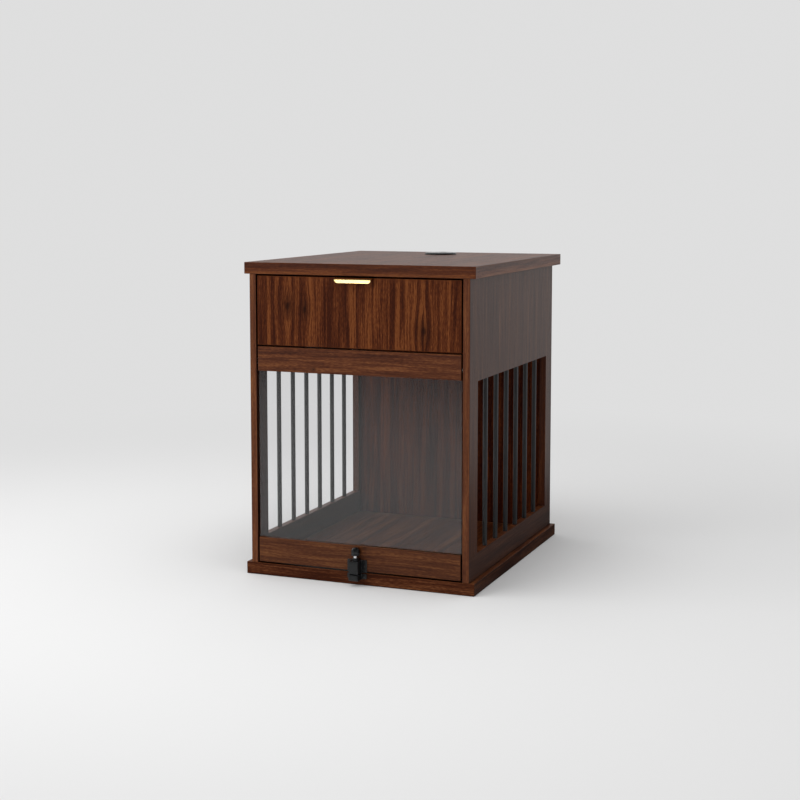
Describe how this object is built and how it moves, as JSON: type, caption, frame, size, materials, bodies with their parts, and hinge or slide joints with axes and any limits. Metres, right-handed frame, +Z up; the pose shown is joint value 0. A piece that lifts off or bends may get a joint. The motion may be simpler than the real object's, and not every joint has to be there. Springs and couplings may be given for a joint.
{
  "type": "dog crate end table",
  "caption": "Walnut end table that is also a dog crate: a drawer on top, barred side windows, and a clear front door that swings up and slides in, with a drop-bolt latch and a cable grommet.",
  "frame": {"origin": "middle of the base board's underside, on the floor", "axes": "+X to the right seen from the front, -Y out of the front, +Z up"},
  "size_m": [0.524, 0.6545, 0.6845],
  "materials": {
    "walnut_board": "satin, dark walnut with vertical grain",
    "drawer_wood": "satin, pale",
    "dowel_wood": "bare beech",
    "black_metal": "satin black",
    "black_screws": "satin black",
    "brass_pull": "brushed",
    "screw_steel": "zinc plated",
    "slide_steel": "zinc plated",
    "bright_steel": "polished",
    "track_aluminium": "plain",
    "black_nylon": "plain",
    "black_plastic": "satin",
    "clear_pane": "clear, polished"
  },
  "bodies": {
    "cabinet": {"top_board": "walnut_board", "base_board": "walnut_board", "side_panel_left": "walnut_board", "side_panel_right": "walnut_board", "back_panel": "walnut_board", "divider_panel": "walnut_board", "side_bars_left": "black_metal", "side_bars_right": "black_metal", "wooden_dowels": "dowel_wood", "cam_bolts": "screw_steel", "cam_locks": "screw_steel", "base_screws": "screw_steel", "door_track_left": "track_aluminium", "door_track_right": "track_aluminium", "track_screws": "screw_steel", "slide_outer_left": "slide_steel", "slide_outer_right": "slide_steel", "slide_outer_screws": "screw_steel", "grommet_sleeve": "black_plastic", "latch_keeper": "black_metal", "latch_keeper_screws": "black_screws"},
    "slide_middles": {"slide_middle_left": "slide_steel", "slide_middle_right": "slide_steel"},
    "drawer": {"drawer_front": "walnut_board", "drawer_pull": "brass_pull", "drawer_pull_screws": "screw_steel", "drawer_side_left": "drawer_wood", "drawer_side_right": "drawer_wood", "drawer_subfront": "drawer_wood", "drawer_back": "drawer_wood", "drawer_bottom": "drawer_wood", "drawer_box_screws": "screw_steel", "drawer_front_screws": "screw_steel", "slide_inner_left": "slide_steel", "slide_inner_right": "slide_steel", "slide_inner_screws": "screw_steel"},
    "door_carriages": {"door_carriage_left": "black_nylon", "door_carriage_right": "black_nylon", "door_pivot_pins": "bright_steel"},
    "door": {"door_top_rail": "walnut_board", "door_bottom_rail": "walnut_board", "door_pane": "clear_pane", "door_pane_screws": "screw_steel", "door_pivot_bushings": "black_nylon", "latch_body": "black_metal", "latch_screws": "black_screws"},
    "latch_plunger": {"latch_bolt": "bright_steel", "latch_knob": "black_metal"},
    "grommet_cover": {"grommet_cap": "black_plastic"}
  },
  "joints": [
    {"name": "drawer_slide", "type": "slide", "parent": "cabinet", "child": "drawer", "axis": [0, -1, 0], "range_m": [0, 0.38]},
    {"name": "middle_slide", "type": "slide", "parent": "cabinet", "child": "slide_middles", "axis": [0, -1, 0], "range_m": [0, 0.19]},
    {"name": "door_slide", "type": "slide", "parent": "cabinet", "child": "door_carriages", "axis": [0, 1, 0], "range_m": [0, 0.38]},
    {"name": "door_flip", "type": "hinge", "parent": "door_carriages", "child": "door", "pos_m": [0, -0.2945, 0.4678], "axis": [-1, 0, 0], "range_deg": [0, 90]},
    {"name": "latch_drop", "type": "slide", "parent": "door", "child": "latch_plunger", "axis": [0, 0, -1], "range_m": [0, 0.0055]},
    {"name": "grommet_turn", "type": "hinge", "parent": "cabinet", "child": "grommet_cover", "pos_m": [0, 0.206, 0.68], "axis": [0, 0, 1], "continuous": true}
  ],
  "couplings": [
    {"joint": "middle_slide", "follows": "drawer_slide", "ratio": 0.5}
  ]
}
